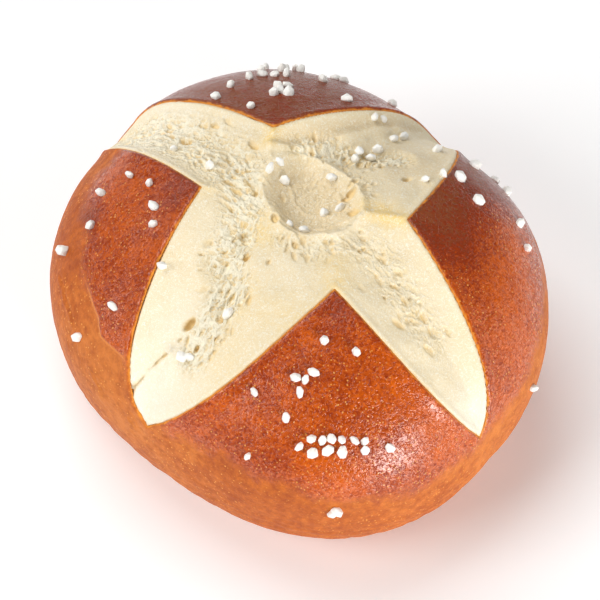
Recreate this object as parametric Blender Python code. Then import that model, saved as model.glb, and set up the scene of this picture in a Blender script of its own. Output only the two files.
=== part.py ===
"""A round pretzel roll: a domed bun whose cross cut opened in the oven, strewn with coarse salt.

Metres, +Z up. The roll stands on its flat base at z = 0, with the middle of its box over the origin,
and -Y is its front. A place on the crust is a reach, the distance from the crown along the crust, and
a bearing, the angle round +Z from +X.
"""

import math
import random

import bmesh
import bpy
import numpy as np
from mathutils import Euler, Matrix, Vector, noise

MM = 0.001

# The plain bun, before the cut opens
RADIUS = 47.5 * MM
HEIGHT = 52.0 * MM
WAIST = 24.0 * MM  # height of the widest ring
DOME_POWER = 2.0  # 2 is an ellipse, more is squarer
FOOT_POWER = 2.47
FOOT_DEPTH = 32.6 * MM  # how far under the waist the lower curve would close
BASE_ROUND = 4.0 * MM  # rounding where the side turns into the flat base
OVAL, OVAL_TURN = 0.066, math.radians(-48)
SQUARE, SQUARE_TURN = 0.021, math.radians(11)
UNEVEN, UNEVEN_SIZE = 0.5 * MM, 17 * MM

# The cross cut: four crust tips point inwards, and four arms run out to their ends
TIPS = {"front": (17.4, -69), "right": (20.2, -3), "back": (20.2, 103), "left": (19.0, 161)}
ENDS = {
    "front_left": (57.2, -131),
    "front_right": (56.8, -46),
    "back_right": (55.5, 46),
    "back_left": (57.5, 137),
}
# Each side of an arm, from its end to a tip: how far it bows out in mm, and where it bows most, which is
# half way at 1 and nearer the end below 1
BOWS = {
    ("front_left", "front"): (6.1, 0.8),
    ("front_left", "left"): (4.9, 0.6),
    ("front_right", "front"): (3.1, 0.8),
    ("front_right", "right"): (2.6, 0.6),
    ("back_right", "right"): (3.4, 1.0),
    ("back_right", "back"): (4.0, 0.5),
    ("back_left", "back"): (4.5, 0.4),
    ("back_left", "left"): (4.5, 0.4),
}
# How far the dough is drawn in round each arm's end, in mm
PINCHES = {"front_left": 0.2, "front_right": 1.1, "back_right": 1.4, "back_left": 1.2}
PINCH_SIZE = 12 * MM
SIDE_STEPS = 12

# How each cut sinks from its two sides, and how deep it gets
WIDE_CUT = {"depth": 4.6 * MM, "steep": 0.50, "gentle": 0.30}
NARROW_CUT = {"depth": 3.8 * MM, "steep": 0.42, "gentle": 0.28}
TORN, TORN_SIZE = 0.5 * MM, 5.5 * MM
CRUMB_FADE = 3 * MM  # the torn surface starts this far in from the crust
LIP, LIP_WIDTH = 0.45 * MM, 2.0 * MM  # the crust's edge stands a little proud
PITS = [
    {"at": (6.2, 59), "radius": 8.6 * MM, "depth": 2.7 * MM},
    {"at": (22.7, 50), "radius": 4.5 * MM, "depth": 1.1 * MM},
]
PIT_RIM = 2.6  # how sharply a pit's rim turns over

# Salt grains in groups: reach, bearing, spread along the reach and across it (mm), number
SALT = [
    (45.4, -82, 1.5, 7.0, 11),
    (34.2, -88, 2.0, 1.8, 4),
    (26.8, -80, 0.4, 0.4, 1),
    (29.4, -70, 0.4, 0.4, 1),
    (41.5, -93, 0.4, 0.4, 1),
    (51.1, -102, 0.4, 0.4, 1),
    (38.4, -103, 0.4, 0.4, 1),
    (60.1, -83, 0.6, 1.3, 2),
    (47.1, -69, 0.4, 0.4, 1),
    (27.2, 176, 0.4, 2.6, 2),
    (29.8, 162, 0.4, 0.4, 1),
    (34.6, 158, 0.4, 0.4, 1),
    (40.0, 164, 0.4, 0.4, 1),
    (41.1, 174, 0.4, 0.4, 1),
    (49.2, 177, 0.9, 0.6, 2),
    (52.5, -160, 0.4, 0.4, 1),
    (41.5, -158, 0.4, 0.4, 1),
    (29.1, -160, 0.4, 0.4, 1),
    (35.9, 17, 1.2, 3.6, 2),
    (47.2, 6, 0.4, 3.6, 2),
    (44.8, 30, 0.4, 0.4, 1),
    (51.8, 26, 0.8, 3.0, 2),
    (60.3, -26, 0.5, 0.5, 1),
    (41.8, 99, 2.4, 4.0, 6),
    (47.8, 94, 1.0, 4.0, 4),
    (32.5, 96, 2.2, 1.6, 5),
    (27.7, 108, 0.4, 0.4, 1),
    (34.0, 117, 0.4, 0.4, 1),
    (37.0, 110, 0.4, 0.4, 1),
    (47.8, 79, 0.6, 1.2, 2),
    (35.1, 74, 0.4, 0.4, 1),
    (41.8, 83, 0.4, 0.4, 1),
    (56.0, 90, 4.5, 22.0, 6),
    (25.5, 54, 4.8, 1.6, 4),
    (37.2, 57, 2.2, 4.2, 4),
    (48.7, 63, 0.5, 0.5, 1),
    (40.1, 39, 0.5, 0.5, 1),
    (30.0, 24, 2.7, 0.6, 2),
    (1.0, -104, 1.2, 2.2, 2),
    (7.8, 25, 2.8, 0.6, 2),
    (14.0, 58, 0.4, 0.4, 1),
    (11.4, 111, 1.6, 1.4, 3),
    (25.3, 142, 5.4, 0.6, 2),
    (26.6, -125, 0.5, 0.5, 1),
    (39.0, -130, 1.0, 1.3, 2),
]
GRAIN_LENGTH = (2.4 * MM, 3.3 * MM)
GRAIN_SHARES = ((1.0, 1.0), (0.62, 0.88), (0.52, 0.75))  # of its length: long, middle and short way
GRAIN_ROUGH = (0.78, 1.12)  # how far each corner is moved out or in
GRAIN_TRIES = 6  # places tried for each grain, of which the one farthest from the others is kept
GRAIN_OUT = 0.35 * MM  # the middle of a grain above the roll
SEED = 589

SHARP = math.radians(40)
ROUND_DETAIL = 5  # icosphere subdivisions
CROWN_DETAIL = -0.2  # above 0 crowds the points towards the crown, below 0 away from it
SNAP = 0.3  # an edge cut this near to one end moves that end instead

CRUST, CRUMB, GRAIN = 0, 1, 2


def clear_scene():
    for obj in list(bpy.data.objects):
        bpy.data.objects.remove(obj)


def finish(name, colour, roughness, **more):
    material = bpy.data.materials.new(name)
    material.use_nodes = True
    surface = material.node_tree.nodes["Principled BSDF"]
    surface.inputs["Base Color"].default_value = (*colour, 1)
    surface.inputs["Roughness"].default_value = roughness
    surface.inputs["Metallic"].default_value = 0
    for socket, value in more.items():
        surface.inputs[socket].default_value = value
    return material


# ---- The bun's own form -------------------------------------------------------------------------


def profile(tilt):
    """Share of the radius, height, and outward slope at an angle down from the crown, from 0 to pi."""
    dome = np.cos(tilt) >= 0
    power = np.where(dome, DOME_POWER, FOOT_POWER)
    rise = np.where(dome, HEIGHT - WAIST, FOOT_DEPTH)
    up = np.abs(np.cos(tilt)) ** (2 / power) * np.where(dome, 1, -1)
    share = np.abs(np.sin(tilt)) ** (2 / power)
    outward = share ** (power - 1) / RADIUS
    upward = np.sign(up) * np.abs(up) ** (power - 1) / rise
    return share, WAIST + rise * up, outward, upward


def reach_table(steps=2000):
    """Tilts from the crown to the base, and how far along the crust each lies."""
    tilts = np.linspace(0, math.pi, steps)
    share, height, _, _ = profile(tilts)
    lengths = np.hypot(np.diff(share * RADIUS), np.diff(height))
    return tilts, np.concatenate([[0], np.cumsum(lengths)])


TILTS, REACHES = reach_table()


def plan_radius(bearing):
    oval = OVAL * np.cos(2 * (bearing - OVAL_TURN))
    square = SQUARE * np.cos(4 * (bearing - SQUARE_TURN))
    return RADIUS * (1 + oval + square)


def on_bun(chart):
    """Points of the plain bun, and the way out there, for places given as flat chart coordinates."""
    bearing = np.arctan2(chart[:, 1], chart[:, 0])
    tilt = np.interp(np.hypot(chart[:, 0], chart[:, 1]), REACHES, TILTS)
    share, height, outward, upward = profile(tilt)
    radius = share * plan_radius(bearing)
    points = np.stack([radius * np.cos(bearing), radius * np.sin(bearing), height], 1)
    ways = np.stack([outward * np.cos(bearing), outward * np.sin(bearing), upward], 1)
    return points, ways / np.linalg.norm(ways, axis=1, keepdims=True)


def heading(degrees):
    angle = math.radians(degrees)
    return np.array([math.cos(angle), math.sin(angle)])


def place(reach, degrees):
    """Chart coordinates, in metres, of a reach in millimetres and a bearing."""
    return heading(degrees) * reach * MM


# ---- The cross cut ------------------------------------------------------------------------------


def arm_side(end, tip):
    """One side of an arm in the chart, from its end to the crust tip where it stops."""
    start, stop = place(*ENDS[end]), place(*TIPS[tip])
    bow, skew = BOWS[end, tip]
    along = stop - start
    out = np.array([along[1], -along[0]]) / np.linalg.norm(along)
    if out @ (start + stop) < 0:
        out = -out
    share = np.linspace(0, 1, SIDE_STEPS)[:, None]
    return start + share * along + out * bow * MM * np.sin(math.pi * share**skew)


def cut_side(first_end, first_tip, second_tip, second_end):
    """One long side of a cut, from end to end past the two crust tips on that side."""
    return np.concatenate([arm_side(first_end, first_tip), arm_side(second_end, second_tip)[::-1]])


def distance_to(chart, line):
    """How far each place in the chart is from an open line."""
    nearest = np.full(len(chart), np.inf)
    for a, b in zip(line[:-1], line[1:]):
        along = b - a
        share = np.clip((chart - a) @ along / max(along @ along, 1e-12), 0, 1)
        nearest = np.minimum(nearest, np.linalg.norm(chart - a - share[:, None] * along, axis=1))
    return nearest


def inside(chart, loop):
    """Whether each place in the chart lies inside a closed outline."""
    x, y = chart.T
    crossings = np.zeros(len(chart), int)
    for (ax, ay), (bx, by) in zip(loop, np.roll(loop, -1, axis=0)):
        if ay != by:
            spans = (ay > y) != (by > y)
            crossings += spans & (x < ax + (y - ay) * (bx - ax) / (by - ay))
    return crossings % 2 == 1


class Cut:
    """One slash of the cross: a leaf-shaped opening with a steep and a gentle side."""

    def __init__(self, steep_side, gentle_side, depth, steep, gentle):
        self.steep_side, self.gentle_side = steep_side, gentle_side
        self.depth, self.steep, self.gentle = depth, steep, gentle
        self.outline = np.concatenate([steep_side, gentle_side[::-1]])

    def measure(self, chart):
        """Signed distance to the opening's edge, above 0 inside, and how deep the cut is there."""
        to_steep = distance_to(chart, self.steep_side)
        to_gentle = distance_to(chart, self.gentle_side)
        within = inside(chart, self.outline)
        edge = np.minimum(to_steep, to_gentle) * np.where(within, 1, -1)
        fall = np.minimum(to_steep * self.steep, to_gentle * self.gentle)
        depth = self.depth * (1 - np.exp(-fall / self.depth)) * within
        return edge, depth


WIDE = Cut(
    cut_side("front_left", "left", "back", "back_right"),
    cut_side("front_left", "front", "right", "back_right"),
    **WIDE_CUT,
)
NARROW = Cut(
    cut_side("front_right", "right", "back", "back_left"),
    cut_side("front_right", "front", "left", "back_left"),
    **NARROW_CUT,
)


def opening(chart):
    """Signed distance to the crumb's edge, above 0 on the crumb, and the depth of the deeper cut."""
    wide_edge, wide_depth = WIDE.measure(chart)
    narrow_edge, narrow_depth = NARROW.measure(chart)
    return np.maximum(wide_edge, narrow_edge), np.maximum(wide_depth, narrow_depth)


def pit_depth(chart):
    """Round hollows torn in the crumb: flat at the bottom, with a soft rim."""
    depth = np.zeros(len(chart))
    for pit in PITS:
        away = np.linalg.norm(chart - place(*pit["at"]), axis=1) / pit["radius"]
        depth += pit["depth"] / 2 * (1 - np.tanh(PIT_RIM * (away - 1)))
    return depth


def pinch_depth(chart):
    """How far the crust is drawn in near the ends of the arms."""
    depth = np.zeros(len(chart))
    for end, pinch in PINCHES.items():
        away = np.linalg.norm(chart - place(*ENDS[end]), axis=1)
        depth += pinch * MM * np.exp(-((away / PINCH_SIZE) ** 2))
    return depth


def waves(points, size):
    return np.array([noise.noise(Vector(p) / size) for p in points])


def on_roll(chart):
    """Points of the finished surface, the way out, and the signed distance to the crumb's edge."""
    points, ways = on_bun(chart)
    edge, depth = opening(chart)
    crumb = np.clip(edge / CRUMB_FADE, 0, 1)
    lip = LIP * np.exp(-((edge / LIP_WIDTH) ** 2)) * (edge <= 0)
    torn = TORN * crumb * waves(points, TORN_SIZE)
    sunk = depth + crumb * pit_depth(chart) + pinch_depth(chart)
    lift = UNEVEN * waves(points, UNEVEN_SIZE) + lip + torn - sunk
    points = points + ways * lift[:, None]
    points[:, 2] = stand(points[:, 2])
    return points, ways, edge


def stand(height):
    """Height above the flat base, where the side turns into it with a rounded edge."""
    blend = np.clip(BASE_ROUND - np.abs(height), 0, None) / BASE_ROUND
    return np.maximum(height, 0) + blend**2 * BASE_ROUND / 4


# ---- The roll's mesh ----------------------------------------------------------------------------


def chart_of(directions):
    """Chart coordinates of unit directions."""
    tilt = np.arccos(np.clip(directions[:, 2], -1, 1))
    tilt = tilt - CROWN_DETAIL * np.sin(tilt)
    bearing = np.arctan2(directions[:, 1], directions[:, 0])
    reach = np.interp(tilt, TILTS, REACHES)
    return np.stack([reach * np.cos(bearing), reach * np.sin(bearing)], 1)


def edge_distances(mesh):
    directions = np.array([v.co.normalized() for v in mesh.verts])
    return list(opening(chart_of(directions))[0])


def refine_crumb(mesh):
    """Splits the faces on the crumb and round its edge."""
    distances = edge_distances(mesh)
    near = [f for f in mesh.faces if max(distances[v.index] for v in f.verts) > -LIP_WIDTH / 2]
    edges = {e for f in near for e in f.edges}
    bmesh.ops.subdivide_edges(mesh, edges=list(edges), cuts=1, use_grid_fill=True)
    bmesh.ops.triangulate(mesh, faces=mesh.faces[:])


def cut_along_edge(mesh):
    """Moves or adds points so that mesh edges follow the line where the crust meets the crumb."""
    mesh.verts.index_update()
    distances = edge_distances(mesh)
    for e in mesh.edges:
        a, b = e.verts
        if distances[a.index] * distances[b.index] < 0:
            share = distances[a.index] / (distances[a.index] - distances[b.index])
            if min(share, 1 - share) < SNAP:
                moved = a if share < 0.5 else b
                moved.co = a.co.lerp(b.co, share)
                distances[moved.index] = 0
    crossing = []
    for e in mesh.edges:
        a, b = (distances[v.index] for v in e.verts)
        if a * b < 0:
            crossing.append((e, e.verts[0], a / (a - b)))
    on_edge = [v for v in mesh.verts if distances[v.index] == 0]
    on_edge += [bmesh.utils.edge_split(e, v, share)[1] for e, v, share in crossing]
    bmesh.ops.connect_verts(mesh, verts=on_edge)
    bmesh.ops.triangulate(mesh, faces=mesh.faces[:])
    mesh.verts.index_update()


def lay_on_roll(mesh):
    """Moves the sphere's points to the roll's surface and gives each face its finish."""
    directions = np.array([v.co.normalized() for v in mesh.verts])
    points, _, distances = on_roll(chart_of(directions))
    for v, point in zip(mesh.verts, points):
        v.co = point
    for f in mesh.faces:
        middle = sum(distances[v.index] for v in f.verts)
        f.material_index = CRUMB if middle > 0 else CRUST


def flatten_base(mesh):
    """Makes the flat base one face, then splits it into as few triangles as it takes."""
    base = [f for f in mesh.faces if all(v.co.z == 0 for v in f.verts)]
    merged = bmesh.ops.dissolve_faces(mesh, faces=base)["region"]
    bmesh.ops.triangulate(mesh, faces=merged)


def bun(collection, finishes):
    mesh = bmesh.new()
    bmesh.ops.create_icosphere(mesh, subdivisions=ROUND_DETAIL, radius=1)
    refine_crumb(mesh)
    cut_along_edge(mesh)
    lay_on_roll(mesh)
    flatten_base(mesh)
    obj = new_object("pretzel_roll", mesh, collection)
    for material in finishes:
        obj.data.materials.append(material)
    return obj


def new_object(name, mesh, collection):
    data = bpy.data.meshes.new(name)
    mesh.to_mesh(data)
    mesh.free()
    obj = bpy.data.objects.new(name, data)
    collection.objects.link(obj)
    return obj


# ---- Salt ---------------------------------------------------------------------------------------


def grain_places(draw):
    """Chart coordinates of every grain, drawn group by group and kept apart from each other."""
    places = []
    for reach, bearing, along, across, number in SALT:
        outward = heading(bearing)
        sideways = np.array([-outward[1], outward[0]])
        for _ in range(number):
            tries = []
            for _ in range(GRAIN_TRIES):
                shift = along * draw.uniform(-1, 1), across * draw.uniform(-1, 1)
                tries.append((outward * (reach + shift[0]) + sideways * shift[1]) * MM)
            places.append(max(tries, key=lambda place: nearest_gap(place, places)))
    return np.array(places)


def nearest_gap(place, others):
    return min((np.linalg.norm(place - other) for other in others), default=0)


def grain(name, middle, draw, collection, material):
    """One salt crystal: a lump of 20 faces with uneven corners, turned at random."""
    mesh = bmesh.new()
    bmesh.ops.create_icosphere(mesh, subdivisions=1, radius=draw.uniform(*GRAIN_LENGTH) / 2)
    shares = [draw.uniform(*span) for span in GRAIN_SHARES]
    turn = Euler([draw.uniform(-math.pi, math.pi) for _ in range(3)]).to_matrix()
    for v in mesh.verts:
        v.co = Vector(c * s * draw.uniform(*GRAIN_ROUGH) for c, s in zip(v.co, shares))
    bmesh.ops.transform(mesh, matrix=Matrix.Translation(middle) @ turn.to_4x4(), verts=mesh.verts)
    for f in mesh.faces:
        f.material_index = GRAIN
    obj = new_object(name, mesh, collection)
    for slot in range(GRAIN + 1):
        obj.data.materials.append(material)
    obj.hide_render = True
    obj.display_type = "WIRE"
    return obj


def fuse_salt(obj, material):
    """Joins the salt to the roll with one Boolean union, then removes the loose grains."""
    draw = random.Random(SEED)
    grains = bpy.data.collections.new("salt_grains")
    bpy.context.scene.collection.children.link(grains)
    points, ways, _ = on_roll(grain_places(draw))
    for number, (point, way) in enumerate(zip(points, ways)):
        middle = Vector(point + way * GRAIN_OUT)
        grain(f"grain_{number}", middle, draw, grains, material)
    join = obj.modifiers.new("fused salt", "BOOLEAN")
    join.operation = "UNION"
    join.operand_type = "COLLECTION"
    join.collection = grains
    join.solver = "EXACT"
    graph = bpy.context.evaluated_depsgraph_get()
    joined = bpy.data.meshes.new_from_object(obj.evaluated_get(graph))
    joined.shade_smooth()
    joined.set_sharp_from_angle(angle=SHARP)
    obj.modifiers.clear()
    obj.data = joined
    for loose in list(grains.objects):
        bpy.data.objects.remove(loose)
    bpy.data.collections.remove(grains)


def centre_over_origin(obj):
    corners = np.array([v.co for v in obj.data.vertices])
    middle = (corners.min(axis=0) + corners.max(axis=0)) / 2
    obj.data.transform(Matrix.Translation((-middle[0], -middle[1], 0)))


def main():
    clear_scene()
    roll = bpy.data.collections.new("pretzel roll")
    bpy.context.scene.collection.children.link(roll)
    crust = finish("crust", (0.36, 0.085, 0.018), 0.38)
    crumb = finish("crumb", (0.83, 0.68, 0.38), 0.8)
    salt = finish("salt", (0.9, 0.88, 0.82), 0.45)
    obj = bun(roll, (crust, crumb, salt))
    fuse_salt(obj, salt)
    centre_over_origin(obj)


main()
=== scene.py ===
import math
import random

import bmesh
import bpy
import numpy as np
from mathutils import Euler, Matrix, Vector, noise


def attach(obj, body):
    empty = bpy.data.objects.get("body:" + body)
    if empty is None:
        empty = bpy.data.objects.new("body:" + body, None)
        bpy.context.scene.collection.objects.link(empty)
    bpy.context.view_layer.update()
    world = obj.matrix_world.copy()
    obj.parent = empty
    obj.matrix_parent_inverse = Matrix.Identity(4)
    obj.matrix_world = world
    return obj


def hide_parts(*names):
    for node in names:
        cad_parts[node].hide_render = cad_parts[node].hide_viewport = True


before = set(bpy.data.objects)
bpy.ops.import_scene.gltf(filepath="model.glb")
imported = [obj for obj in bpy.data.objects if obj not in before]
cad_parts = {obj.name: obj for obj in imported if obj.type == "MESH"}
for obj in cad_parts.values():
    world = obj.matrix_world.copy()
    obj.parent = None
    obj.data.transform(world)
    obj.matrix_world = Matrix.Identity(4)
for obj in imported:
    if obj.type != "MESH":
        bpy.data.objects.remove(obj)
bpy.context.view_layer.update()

mm = 0.001

# A pretzel roll: a crumb body with the torn cross on top, the browned crust round it, and coarse salt.
# A place on it is a reach (distance from the crown along the crust, in mm) and a bearing in degrees.

bun = {
    "radius": 47.5 * mm,
    "height": 52.0 * mm,
    "waist": 24.0 * mm,  # height of the widest ring
    "domePower": 2.0,
    "footPower": 2.47,
    "footDepth": 32.6 * mm,
    "baseRound": 4.0 * mm,
    "oval": 0.066,
    "ovalTurn": math.radians(-48),
    "square": 0.021,
    "squareTurn": math.radians(11),
    "uneven": 0.5 * mm,
    "unevenSize": 17 * mm,
}

slashes = {
    "tips": {"front": (17.4, -69), "right": (20.2, -3), "back": (20.2, 103), "left": (19.0, 161)},
    "ends": {
        "frontLeft": (57.2, -131),
        "frontRight": (56.8, -46),
        "backRight": (55.5, 46),
        "backLeft": (57.5, 137),
    },
    # how far each side bows out in mm, and its skew: 1 bows most half way, less bows nearer the end
    "bows": {
        ("frontLeft", "front"): (6.1, 0.8),
        ("frontLeft", "left"): (4.9, 0.6),
        ("frontRight", "front"): (3.1, 0.8),
        ("frontRight", "right"): (2.6, 0.6),
        ("backRight", "right"): (3.4, 1.0),
        ("backRight", "back"): (4.0, 0.5),
        ("backLeft", "back"): (4.5, 0.4),
        ("backLeft", "left"): (4.5, 0.4),
    },
    "pinches": {"frontLeft": 0.2, "frontRight": 1.1, "backRight": 1.4, "backLeft": 1.2},
    "pinchSize": 12 * mm,
    "sideSteps": 12,
    "wide": {"depth": 4.6 * mm, "steep": 0.50, "gentle": 0.30},
    "narrow": {"depth": 3.8 * mm, "steep": 0.42, "gentle": 0.28},
    "torn": 0.5 * mm,
    "tornSize": 5.5 * mm,
    "fade": 3 * mm,
    "lip": 0.45 * mm,
    "lipWidth": 2.0 * mm,
}


def profile(tilt):
    # share of the radius, height and outward slope, at an angle down from the crown
    dome = np.cos(tilt) >= 0
    power = np.where(dome, bun["domePower"], bun["footPower"])
    rise = np.where(dome, bun["height"] - bun["waist"], bun["footDepth"])
    up = np.abs(np.cos(tilt)) ** (2 / power) * np.where(dome, 1, -1)
    share = np.abs(np.sin(tilt)) ** (2 / power)
    outward = share ** (power - 1) / bun["radius"]
    upward = np.sign(up) * np.abs(up) ** (power - 1) / rise
    return share, bun["waist"] + rise * up, outward, upward


def reachTable(steps=2000):
    tilts = np.linspace(0, math.pi, steps)
    share, height, _, _ = profile(tilts)
    lengths = np.hypot(np.diff(share * bun["radius"]), np.diff(height))
    return tilts, np.concatenate([[0], np.cumsum(lengths)])


tiltSteps, reachSteps = reachTable()


def planRadius(bearing):
    oval = bun["oval"] * np.cos(2 * (bearing - bun["ovalTurn"]))
    square = bun["square"] * np.cos(4 * (bearing - bun["squareTurn"]))
    return bun["radius"] * (1 + oval + square)


def onBun(chart):
    # points of the plain bun and the way out there
    bearing = np.arctan2(chart[:, 1], chart[:, 0])
    tilt = np.interp(np.hypot(chart[:, 0], chart[:, 1]), reachSteps, tiltSteps)
    share, height, outward, upward = profile(tilt)
    radius = share * planRadius(bearing)
    points = np.stack([radius * np.cos(bearing), radius * np.sin(bearing), height], 1)
    ways = np.stack([outward * np.cos(bearing), outward * np.sin(bearing), upward], 1)
    return points, ways / np.linalg.norm(ways, axis=1, keepdims=True)


def heading(degrees):
    angle = math.radians(degrees)
    return np.array([math.cos(angle), math.sin(angle)])


def place(reach, degrees):
    return heading(degrees) * reach * mm


def path(*places):
    return np.array([place(*spot) for spot in places])


def armSide(end, tip):
    # one side of an arm, from its end to the crust tip where it stops
    start, stop = place(*slashes["ends"][end]), place(*slashes["tips"][tip])
    bow, skew = slashes["bows"][end, tip]
    along = stop - start
    out = np.array([along[1], -along[0]]) / np.linalg.norm(along)
    if out @ (start + stop) < 0:
        out = -out
    share = np.linspace(0, 1, slashes["sideSteps"])[:, None]
    return start + share * along + out * bow * mm * np.sin(math.pi * share**skew)


def cutSide(firstEnd, firstTip, secondTip, secondEnd):
    return np.concatenate([armSide(firstEnd, firstTip), armSide(secondEnd, secondTip)[::-1]])


def distanceTo(chart, line):
    nearest = np.full(len(chart), np.inf)
    for a, b in zip(line[:-1], line[1:]):
        along = b - a
        share = np.clip((chart - a) @ along / max(along @ along, 1e-12), 0, 1)
        nearest = np.minimum(nearest, np.linalg.norm(chart - a - share[:, None] * along, axis=1))
    return nearest


def inside(chart, loop):
    x, y = chart.T
    crossings = np.zeros(len(chart), int)
    for (ax, ay), (bx, by) in zip(loop, np.roll(loop, -1, axis=0)):
        if ay != by:
            spans = (ay > y) != (by > y)
            crossings += spans & (x < ax + (y - ay) * (bx - ax) / (by - ay))
    return crossings % 2 == 1


class Slash:
    # one slash of the cross: a leaf-shaped opening with a steep and a gentle side
    def __init__(self, steepSide, gentleSide, depth, steep, gentle):
        self.steepSide, self.gentleSide = steepSide, gentleSide
        self.depth, self.steep, self.gentle = depth, steep, gentle
        self.outline = np.concatenate([steepSide, gentleSide[::-1]])

    def measure(self, chart):
        # signed distance to the edge, above 0 inside, and how deep the slash is there
        toSteep = distanceTo(chart, self.steepSide)
        toGentle = distanceTo(chart, self.gentleSide)
        within = inside(chart, self.outline)
        edge = np.minimum(toSteep, toGentle) * np.where(within, 1, -1)
        fall = np.minimum(toSteep * self.steep, toGentle * self.gentle)
        return edge, self.depth * (1 - np.exp(-fall / self.depth)) * within


wideSlash = Slash(
    cutSide("frontLeft", "left", "back", "backRight"),
    cutSide("frontLeft", "front", "right", "backRight"),
    **slashes["wide"],
)
narrowSlash = Slash(
    cutSide("frontRight", "right", "back", "backLeft"),
    cutSide("frontRight", "front", "left", "backLeft"),
    **slashes["narrow"],
)


def opening(chart):
    wideEdge, wideDepth = wideSlash.measure(chart)
    narrowEdge, narrowDepth = narrowSlash.measure(chart)
    return np.maximum(wideEdge, narrowEdge), np.maximum(wideDepth, narrowDepth)


def pinchDepth(chart):
    # the dough is drawn in a little round the end of each arm
    depth = np.zeros(len(chart))
    for end, pinch in slashes["pinches"].items():
        away = np.linalg.norm(chart - place(*slashes["ends"][end]), axis=1)
        depth += pinch * mm * np.exp(-((away / slashes["pinchSize"]) ** 2))
    return depth


def waves(points, size, seed=0):
    return np.array([noise.noise(p) for p in (points / size + seed).tolist()])


def stand(height):
    # height above the flat base, where the side turns into it with a rounded edge
    blend = np.clip(bun["baseRound"] - np.abs(height), 0, None) / bun["baseRound"]
    return np.maximum(height, 0) + blend**2 * bun["baseRound"] / 4


def smooth(value, low, high):
    share = np.clip((value - low) / (high - low), 0, 1)
    return share * share * (3 - 2 * share)


def chartOf(directions, crowd):
    tilt = np.arccos(np.clip(directions[:, 2], -1, 1))
    tilt = tilt - crowd * np.sin(tilt)
    bearing = np.arctan2(directions[:, 1], directions[:, 0])
    reach = np.interp(tilt, tiltSteps, reachSteps)
    return np.stack([reach * np.cos(bearing), reach * np.sin(bearing)], 1)


# the crumb: a body under the crust, with the torn surface in the opening

crumb = {
    "crowd": 0.12,
    "base": 5,  # subdivisions of the ball
    "edgeRounds": 3,  # times that the opened part is split again
    "underReach": 0.6 * mm,  # how far that goes on under the crust
    "pitBand": 1.5 * mm,  # and round the pit
    "splitRough": 0.12,
    "lowest": 0.4 * mm,
    "rimFade": 6,  # mm from the crust over which the field called rim runs
    "edgeGap": 0.03 * mm,  # how far under the bun's own surface the crumb starts at the crust's edge
    "edgeSwell": 0.25 * mm,
    "swellWidth": 0.6 * mm,
    "underCrust": 0.6 * mm,
    "grainWaves": 0.07 * mm,
    "strandHeight": 0.34 * mm,
    "faceDepth": 0.35 * mm,
    "pitDepth": 2.9 * mm,
    "pitSlope": 2.2 * mm,
    "rimBead": 0.45 * mm,
    "rimWidth": 0.8 * mm,
    "rim": [
        (9.7, 135), (5.8, 158), (4.4, -130), (5.3, -66), (8.9, -28), (11.6, -1),
        (13.5, 18), (15.2, 41), (15.4, 64), (15.4, 88), (12.6, 112),
    ],
    # reach, bearing, size in mm, amount
    # shadeSpots: painted shade on the back right arm, which faces away from the light
    "shadeSpots": [(33, 35, 9, 0.35), (24, 48, 5, 0.25), (20, 62, 4, 0.15)],
    # painted light: spots that make the arms paler towards their ends, which face the light
    "paintedLightSpots": [
        (52, -134, 12, 0.9), (54, -46, 9, 0.9), (33, -136, 7, 0.4), (40, 137, 10, 0.7), (14, -165, 5, 0.4),
    ],
    "yellowSpots": [
        (16, 0, 3, 0.8), (14, 10, 2.5, 0.5), (19.5, -3, 2.5, 0.6), (13, -60, 3, 0.5), (17, -68, 2.5, 0.6),
        (20, 103, 1.5, 0.9), (17.6, 108, 1.6, 0.9), (19, 161, 2, 0.4), (9, -150, 4, 0.5), (8, 178, 3, 0.5),
        (24, -90, 6, 0.3), (22, -118, 6, 0.3), (36, -116, 7, 0.2), (16, 90, 2.5, 0.3),
    ],
    "seed": 5,
}

# bands where the crumb tore open: path, half width in mm, how rough and how deep (mm), number of pores
tears = [
    {
        "path": [
            (14.7, 138), (10.8, 160), (12.7, -165), (17.9, -149), (21.8, -131), (29.1, -129), (38, -127),
        ],
        "width": 5.6,
        "rough": 1.0,
        "sunk": 0.8,
        "pores": 110,
    },
    {
        "path": [(17, 137), (26, 134), (36, 137), (50, 138)],
        "width": 9.0,
        "rough": 0.8,
        "sunk": 0.3,
        "pores": 70,
    },
    {
        "path": [(17.5, 86), (20.5, 66), (24.5, 50), (29, 42)],
        "width": 4.4,
        "rough": 0.9,
        "sunk": 1.0,
        "pores": 46,
    },
    {
        "path": [(14, -30), (19, -33), (27, -40), (34, -43)],
        "width": 5.0,
        "rough": 0.55,
        "sunk": 0.1,
        "pores": 40,
    },
    {"path": [(7, -120), (7.2, -80), (10, -40)], "width": 3.2, "rough": 0.6, "sunk": 0.1, "pores": 26},
    {"path": [(14.2, 25), (17, 33), (17, 45)], "width": 2.4, "rough": 0.5, "sunk": 0.1, "pores": 10},
]

# raised lines: path, height and width in mm
ridges = [
    {
        "path": [(16.5, 110), (16.9, 95), (17.9, 82), (21.5, 73), (27.0, 65), (33, 59), (39.2, 54)],
        "height": 0.75,
        "width": 1.1,
    },
    {"path": [(20.0, -2), (17.9, -1), (15.0, 1), (13.0, 2)], "height": 0.5, "width": 0.9},
    {"path": [(20.0, 103), (18.4, 106), (16.5, 110)], "height": 0.5, "width": 0.8},
    {"path": [(5.4, 150), (3.4, -170), (3.6, -90), (6.4, -45), (9.4, -15)], "height": 0.5, "width": 0.5},
    {"path": [(6.4, 138), (3.0, 160), (1.5, -80), (5.0, -20), (9.2, 0)], "height": 0.35, "width": 0.4},
    {"path": [(9.5, 125), (9.0, 95), (11.5, 70), (12.2, 45), (10.6, 20)], "height": 0.3, "width": 0.5},
    {
        "path": [(11.5, 104), (8.3, 100), (5.2, 97), (3.4, 70), (4.4, 35), (7.6, 14)],
        "height": 0.2,
        "width": 0.4,
    },
]

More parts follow.
